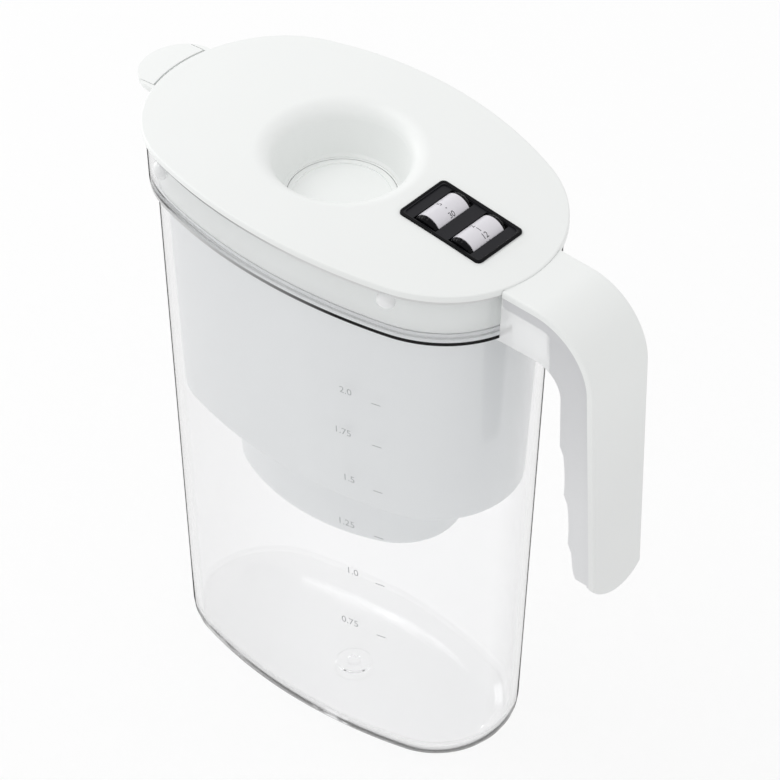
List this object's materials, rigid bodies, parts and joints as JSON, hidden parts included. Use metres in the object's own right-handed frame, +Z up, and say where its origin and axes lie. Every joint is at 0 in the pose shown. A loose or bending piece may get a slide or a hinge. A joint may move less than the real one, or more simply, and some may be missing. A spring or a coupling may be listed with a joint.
{
  "type": "water filter pitcher",
  "caption": "Clear oval jug with an arched handle, hanging funnel and filter cartridge, and a lid with a filling bowl, spring flap, spout flap and thumb-wheel date dials.",
  "frame": {"origin": "middle of the base, on the surface that the jug stands on", "axes": "+Z up, +X towards the handle, -X towards the spout, +Y across the jug"},
  "size_m": [0.2377, 0.1124, 0.2562],
  "materials": {
    "clear_plastic": "clear, polished",
    "white_plastic": "satin",
    "grip_plastic": "fine matt",
    "funnel_plastic": "satin",
    "cartridge_plastic": "satin",
    "seal_rubber": "soft",
    "filter_grains": "granular",
    "mesh_fabric": "fine mesh",
    "black_plastic": "satin",
    "number_plastic": "satin",
    "steel": "bright"
  },
  "bodies": {
    "jug": {"jug_body": "clear_plastic", "handle_cover": "white_plastic", "handle_grip": "grip_plastic"},
    "funnel": {"funnel_hopper": "funnel_plastic"},
    "cartridge": {"cartridge_housing": "cartridge_plastic", "cartridge_cap": "cartridge_plastic", "cartridge_seal": "seal_rubber", "filter_media": "filter_grains", "inlet_mesh": "mesh_fabric", "outlet_mesh": "mesh_fabric"},
    "lid": {"lid_shell": "white_plastic", "dial_tray": "black_plastic", "day_axle": "steel", "month_axle": "steel", "detent_spring": "steel", "fill_flap_pin": "steel"},
    "fill_flap": {"fill_flap": "white_plastic"},
    "spout_flap": {"spout_flap": "white_plastic"},
    "day_wheel": {"day_wheel": "black_plastic", "day_number_band": "number_plastic"},
    "month_wheel": {"month_wheel": "black_plastic", "month_number_band": "number_plastic"}
  },
  "joints": [
    {"name": "funnel_lift", "type": "slide", "parent": "jug", "child": "funnel", "axis": [0, 0, 1], "range_m": [0, 0.15]},
    {"name": "cartridge_lift", "type": "slide", "parent": "funnel", "child": "cartridge", "axis": [0, 0, 1], "range_m": [0, 0.12]},
    {"name": "lid_lift", "type": "slide", "parent": "cartridge", "child": "lid", "axis": [0, 0, 1], "range_m": [0, 0.12]},
    {"name": "spout_flap_hinge", "type": "hinge", "parent": "lid", "child": "spout_flap", "pos_m": [-0.0928, 0, 0.24833], "axis": [0, 1, 0], "range_deg": [0, 80]},
    {"name": "fill_flap_hinge", "type": "hinge", "parent": "lid", "child": "fill_flap", "pos_m": [0.0203, 0, 0.2274], "axis": [0, -1, 0], "range_deg": [0, 60], "stiffness_Nm_per_rad": 0.002, "springref_deg": -34.38},
    {"name": "day_wheel_turn", "type": "hinge", "parent": "lid", "child": "day_wheel", "pos_m": [0.04459, 0, 0.24968], "axis": [0, 1, 0], "continuous": true},
    {"name": "month_wheel_turn", "type": "hinge", "parent": "lid", "child": "month_wheel", "pos_m": [0.06185, 0, 0.24851], "axis": [0, 1, 0], "continuous": true}
  ]
}
